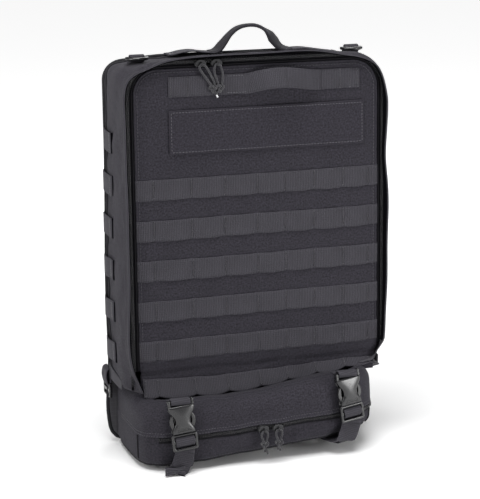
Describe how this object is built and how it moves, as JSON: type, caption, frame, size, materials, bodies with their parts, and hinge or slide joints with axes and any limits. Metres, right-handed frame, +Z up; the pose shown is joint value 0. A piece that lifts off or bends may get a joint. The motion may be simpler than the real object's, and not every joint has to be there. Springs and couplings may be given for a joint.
{
  "type": "trauma backpack",
  "caption": "Black first responder trauma backpack: zipped full front door with webbing rows, carry handle, side loops and a strapped-on waist pouch.",
  "frame": {"origin": "under the middle of the pack's bounding box, at the level of the ground it stands on", "axes": "+X to the right as seen from the front, front door towards -Y, +Z up"},
  "size_m": [0.356, 0.201, 0.54],
  "materials": {
    "fabric": "matte woven cordura",
    "binding": "matte woven tape",
    "sheet_plastic": "satin sheet",
    "zipper": "nylon coil and tape",
    "webbing": "ribbed nylon webbing",
    "elastic": "ribbed elastic",
    "spacer_mesh": "open mesh",
    "cord": "braided cord",
    "hardware": "moulded acetal, semi gloss",
    "slider_metal": "black enamel"
  },
  "bodies": {
    "pack": {"back_panel": "fabric", "frame_sheet": "sheet_plastic", "inner_lining": "fabric", "left_wall": "fabric", "right_wall": "fabric", "top_wall": "fabric", "bottom_wall": "fabric", "storm_flap": "binding", "frame_zipper_tape": "zipper", "lower_front_strip": "fabric", "molle_row_6": "webbing", "side_loops": "webbing", "handle_tails": "webbing", "ring_tabs": "webbing", "back_pads": "spacer_mesh", "strap_yoke": "fabric", "elastic_loops": "elastic", "inner_divider": "fabric", "pouch_body": "fabric", "pouch_flap": "fabric", "pouch_zipper_tape": "zipper", "retention_strap_left": "webbing", "retention_strap_right": "webbing", "buckle_web_loops": "webbing", "buckle_sockets": "hardware", "buckle_plugs": "hardware", "anchor_tabs": "webbing"},
    "door": {"door_panel": "fabric", "door_zipper_tape": "zipper", "molle_rows": "webbing", "id_patch": "fabric", "grab_strap_ends": "webbing", "mesh_pocket": "spacer_mesh"},
    "grab": {"grab_handle": "webbing"},
    "carry": {"top_handle": "webbing"},
    "ring_l": {"ring_left": "hardware"},
    "ring_r": {"ring_right": "hardware"},
    "door_slider_l": {"door_slider_left": "slider_metal"},
    "door_slider_r": {"door_slider_right": "slider_metal"},
    "door_pull_l": {"door_pull_left": "cord"},
    "door_pull_r": {"door_pull_right": "cord"},
    "pouch_slider_l": {"pouch_slider_left": "slider_metal"},
    "pouch_slider_r": {"pouch_slider_right": "slider_metal"},
    "pouch_pull_l": {"pouch_pull_left": "cord"},
    "pouch_pull_r": {"pouch_pull_right": "cord"},
    "latch_l_a": {"latch_arm_left_a": "hardware"},
    "latch_l_b": {"latch_arm_left_b": "hardware"},
    "latch_r_a": {"latch_arm_right_a": "hardware"},
    "latch_r_b": {"latch_arm_right_b": "hardware"},
    "shoulder_l": {"shoulder_pad_left": "fabric", "lower_webbing_left": "webbing"},
    "shoulder_r": {"shoulder_pad_right": "fabric", "lower_webbing_right": "webbing"},
    "adjuster_l": {"adjuster_left": "hardware"},
    "adjuster_r": {"adjuster_right": "hardware"},
    "sternum": {"sternum_webbing": "webbing", "sternum_buckle": "hardware", "sternum_sliders": "hardware"}
  },
  "joints": [
    {"name": "door_fold", "type": "hinge", "parent": "pack", "child": "door", "pos_m": [0, -0.031, 0.116], "axis": [1, 0, 0], "range_deg": [0, 90]},
    {"name": "grab_handle_tilt", "type": "hinge", "parent": "door", "child": "grab", "pos_m": [0.0325, -0.0386, 0.4725], "axis": [1, 0, 0], "range_deg": [-15, 15]},
    {"name": "door_slider_left_travel", "type": "slide", "parent": "door", "child": "door_slider_l", "axis": [1, 0, 0], "range_m": [-0.03, 0]},
    {"name": "door_slider_right_travel", "type": "slide", "parent": "door", "child": "door_slider_r", "axis": [1, 0, 0], "range_m": [0, 0.03]},
    {"name": "door_pull_left_swing", "type": "hinge", "parent": "door_slider_l", "child": "door_pull_l", "pos_m": [-0.0736, -0.0396, 0.4985], "axis": [-1, 0, 0], "range_deg": [0, 80]},
    {"name": "door_pull_right_swing", "type": "hinge", "parent": "door_slider_r", "child": "door_pull_r", "pos_m": [-0.0533, -0.0396, 0.4985], "axis": [-1, 0, 0], "range_deg": [0, 80]},
    {"name": "carry_handle_fold", "type": "hinge", "parent": "pack", "child": "carry", "pos_m": [0.021, 0.049, 0.508], "axis": [1, 0, 0], "range_deg": [-55, 55]},
    {"name": "ring_left_swing", "type": "hinge", "parent": "pack", "child": "ring_l", "pos_m": [-0.141, 0.012, 0.5047], "axis": [-1, 0, 0], "range_deg": [0, 120]},
    {"name": "ring_right_swing", "type": "hinge", "parent": "pack", "child": "ring_r", "pos_m": [0.141, 0.012, 0.5047], "axis": [-1, 0, 0], "range_deg": [0, 120]},
    {"name": "pouch_slider_left_travel", "type": "slide", "parent": "pack", "child": "pouch_slider_l", "axis": [1, 0, 0], "range_m": [-0.045, 0]},
    {"name": "pouch_slider_right_travel", "type": "slide", "parent": "pack", "child": "pouch_slider_r", "axis": [1, 0, 0], "range_m": [0, 0.045]},
    {"name": "pouch_pull_left_swing", "type": "hinge", "parent": "pouch_slider_l", "child": "pouch_pull_l", "pos_m": [-0.017, -0.0969, 0.0444], "axis": [-1, 0, 0], "range_deg": [0, 80]},
    {"name": "pouch_pull_right_swing", "type": "hinge", "parent": "pouch_slider_r", "child": "pouch_pull_r", "pos_m": [0.002, -0.0969, 0.0444], "axis": [-1, 0, 0], "range_deg": [0, 80]},
    {"name": "latch_left_a_press", "type": "hinge", "parent": "pack", "child": "latch_l_a", "pos_m": [-0.127, -0.0955, 0.053], "axis": [0, 1, 0], "range_deg": [0, 7], "stiffness_Nm_per_rad": 0.05},
    {"name": "latch_left_b_press", "type": "hinge", "parent": "pack", "child": "latch_l_b", "pos_m": [-0.111, -0.0955, 0.053], "axis": [0, -1, 0], "range_deg": [0, 7], "stiffness_Nm_per_rad": 0.05},
    {"name": "latch_right_a_press", "type": "hinge", "parent": "pack", "child": "latch_r_a", "pos_m": [0.093, -0.0955, 0.066], "axis": [0, 1, 0], "range_deg": [0, 7], "stiffness_Nm_per_rad": 0.05},
    {"name": "latch_right_b_press", "type": "hinge", "parent": "pack", "child": "latch_r_b", "pos_m": [0.109, -0.0955, 0.066], "axis": [0, -1, 0], "range_deg": [0, 7], "stiffness_Nm_per_rad": 0.05},
    {"name": "shoulder_left_lift", "type": "hinge", "parent": "pack", "child": "shoulder_l", "pos_m": [-0.072, 0.079, 0.49], "axis": [1, 0, 0], "range_deg": [0, 12]},
    {"name": "shoulder_right_lift", "type": "hinge", "parent": "pack", "child": "shoulder_r", "pos_m": [0.072, 0.079, 0.49], "axis": [1, 0, 0], "range_deg": [0, 12]},
    {"name": "sternum_height", "type": "slide", "parent": "shoulder_l", "child": "sternum", "axis": [0, 0, 1], "range_m": [-0.035, 0.035]},
    {"name": "adjuster_left_tilt", "type": "hinge", "parent": "pack", "child": "adjuster_l", "pos_m": [-0.176, 0.067, 0.08], "axis": [0, 1, 0], "range_deg": [0, 30]},
    {"name": "adjuster_right_tilt", "type": "hinge", "parent": "pack", "child": "adjuster_r", "pos_m": [0.176, 0.067, 0.08], "axis": [0, -1, 0], "range_deg": [0, 30]}
  ],
  "couplings": [
    {"joint": "latch_left_b_press", "follows": "latch_left_a_press", "ratio": 1},
    {"joint": "latch_right_b_press", "follows": "latch_right_a_press", "ratio": 1},
    {"joint": "shoulder_right_lift", "follows": "shoulder_left_lift", "ratio": 1}
  ]
}
